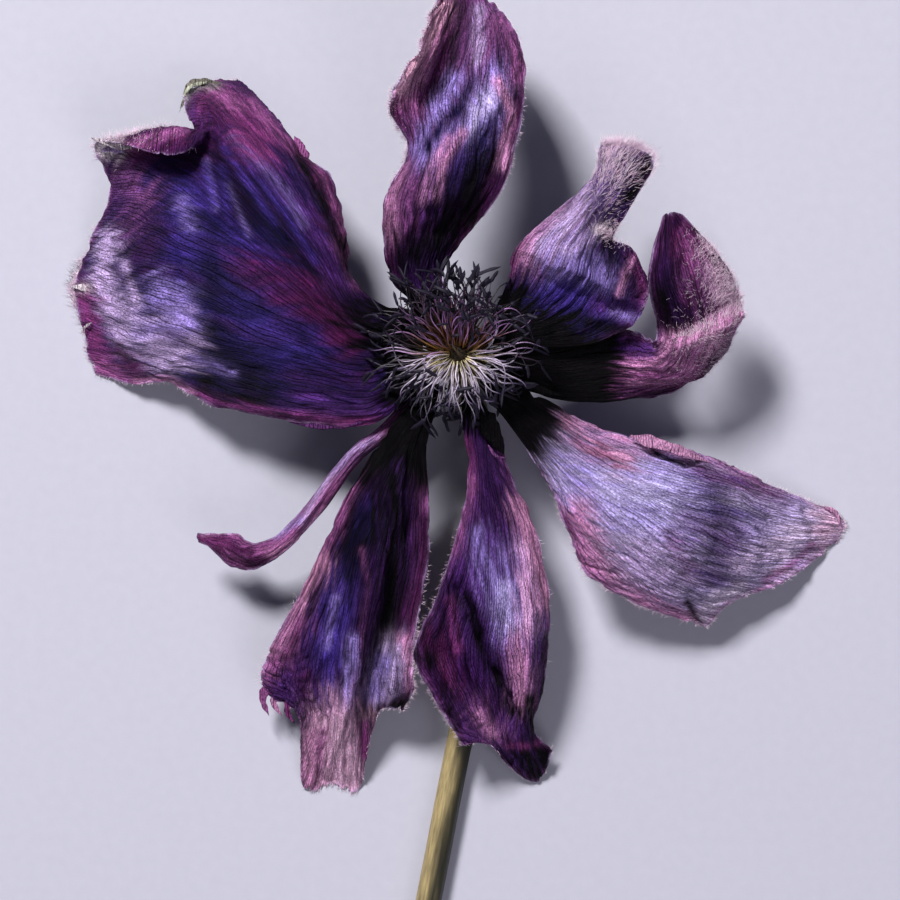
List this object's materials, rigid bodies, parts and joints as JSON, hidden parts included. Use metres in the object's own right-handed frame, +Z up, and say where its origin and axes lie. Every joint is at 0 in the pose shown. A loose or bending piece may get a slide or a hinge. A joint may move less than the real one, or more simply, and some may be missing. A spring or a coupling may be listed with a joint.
{
  "type": "anemone flower",
  "caption": "Wilted purple anemone flower, picked with its stem and laid on its back: pleated, curled tepals round a ring of stamens on a bent stem",
  "frame": {"origin": "On the surface that the flower lies on, under the middle of its box", "axes": "+Z up, out of the flower's face; +Y from the stem's cut end towards the top tepal; +X to the right as seen from above"},
  "size_m": [0.079, 0.1086, 0.0204],
  "materials": {
    "tepal": "dried petal, finely veined, with pale hairs on its back and rims",
    "stem": "dried green stalk, ribbed and hairy",
    "stamen": "cream and lavender filaments with dark purple anthers",
    "pistil": "olive brown, matt and felted"
  },
  "bodies": {
    "root": {"tepal_left": "tepal", "tepal_top": "tepal", "tepal_upper_right": "tepal", "tepal_right": "tepal", "tepal_lower_right": "tepal", "tepal_bottom": "tepal", "tepal_lower_left": "tepal", "tepal_rolled": "tepal", "stem": "stem", "stamens": "stamen", "pistils": "pistil"}
  },
  "joints": []
}
